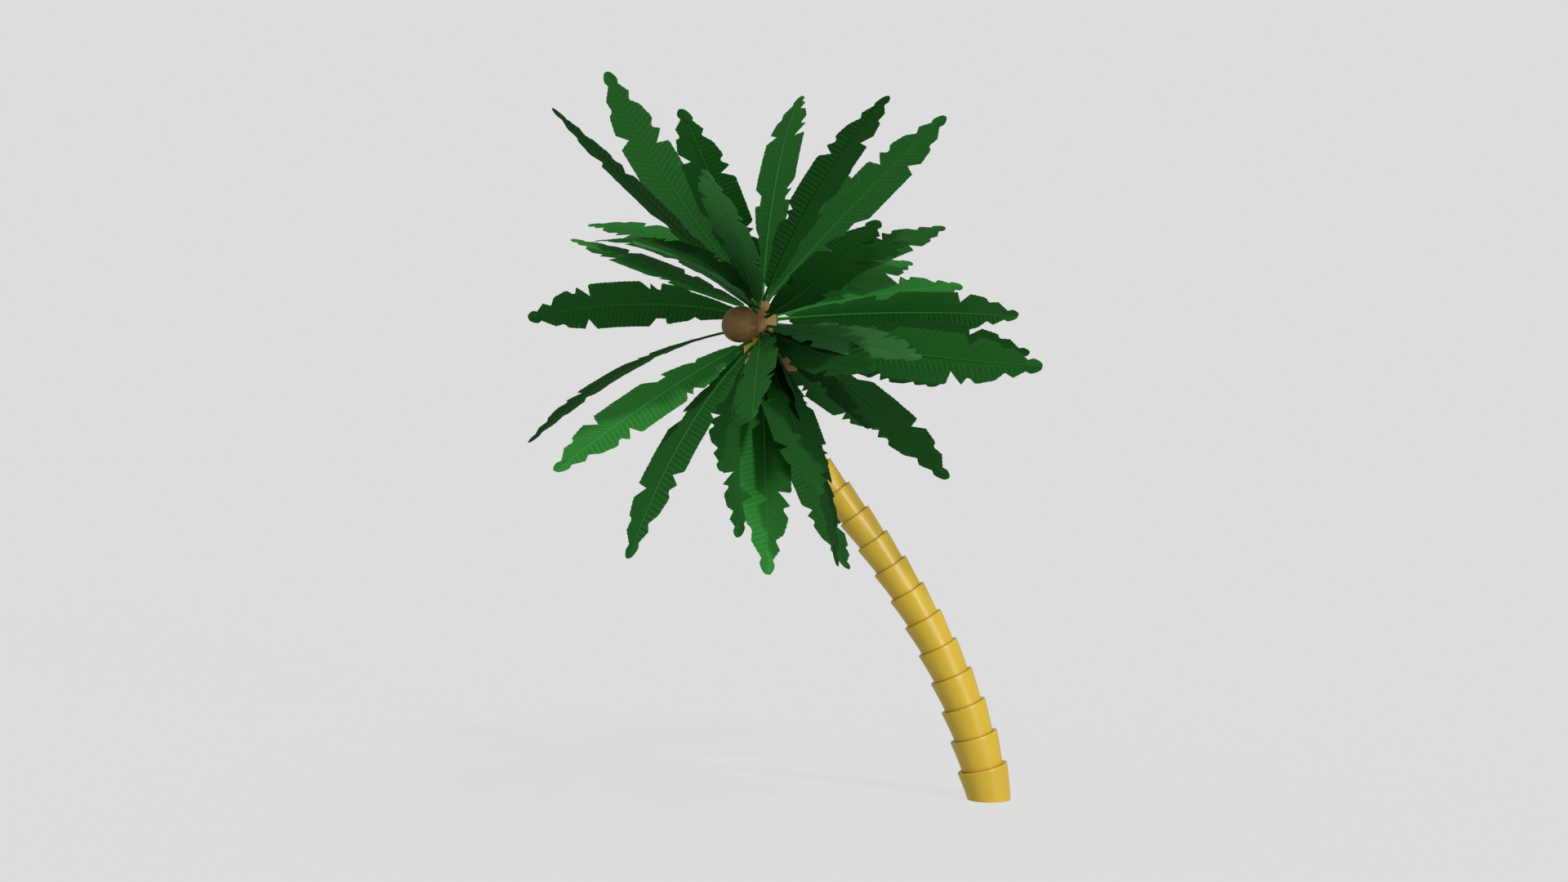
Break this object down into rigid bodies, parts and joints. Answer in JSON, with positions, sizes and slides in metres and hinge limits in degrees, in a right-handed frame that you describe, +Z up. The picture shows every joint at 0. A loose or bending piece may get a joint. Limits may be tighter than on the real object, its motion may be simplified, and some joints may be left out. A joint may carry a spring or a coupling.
{
  "type": "young coconut palm tree",
  "caption": "Young dwarf coconut palm: a ringed, golden trunk that curves over to one side, a full crown of flat, toothed fronds all round its head, and brown coconuts among their stems.",
  "frame": {"origin": "middle of the level cut under the trunk, at ground level", "axes": "+Z straight up; -Y towards the viewer of the picture; the trunk curves over towards -X, the viewer's left"},
  "size_m": [4.4496, 4.6624, 6.1239],
  "materials": {
    "bark": "smooth golden bark in flaring rings, with fine length-ways fibres",
    "husk": "dull brown, fibrous husk",
    "leaf": "satin green leaf, a lighter rib and stripes of lighter and darker leaflets"
  },
  "bodies": {
    "root": {"trunk": "bark", "coconut_1": "husk", "coconut_2": "husk", "coconut_3": "husk", "frond_top_1": "leaf", "frond_top_2": "leaf", "frond_top_3": "leaf", "frond_top_4": "leaf", "frond_top_5": "leaf", "frond_top_6": "leaf", "frond_top_7": "leaf", "frond_top_8": "leaf", "frond_upper_1": "leaf", "frond_upper_2": "leaf", "frond_upper_3": "leaf", "frond_upper_4": "leaf", "frond_upper_5": "leaf", "frond_upper_6": "leaf", "frond_upper_7": "leaf", "frond_upper_8": "leaf", "frond_upper_9": "leaf", "frond_level_1": "leaf", "frond_level_2": "leaf", "frond_level_3": "leaf", "frond_level_4": "leaf", "frond_level_5": "leaf", "frond_level_6": "leaf", "frond_level_7": "leaf", "frond_level_8": "leaf", "frond_low_1": "leaf", "frond_low_2": "leaf", "frond_low_3": "leaf", "frond_low_4": "leaf", "frond_low_5": "leaf", "frond_low_6": "leaf", "frond_low_7": "leaf", "frond_low_8": "leaf", "frond_low_9": "leaf", "frond_low_10": "leaf", "frond_low_11": "leaf", "frond_low_12": "leaf", "frond_low_13": "leaf"}
  },
  "joints": []
}
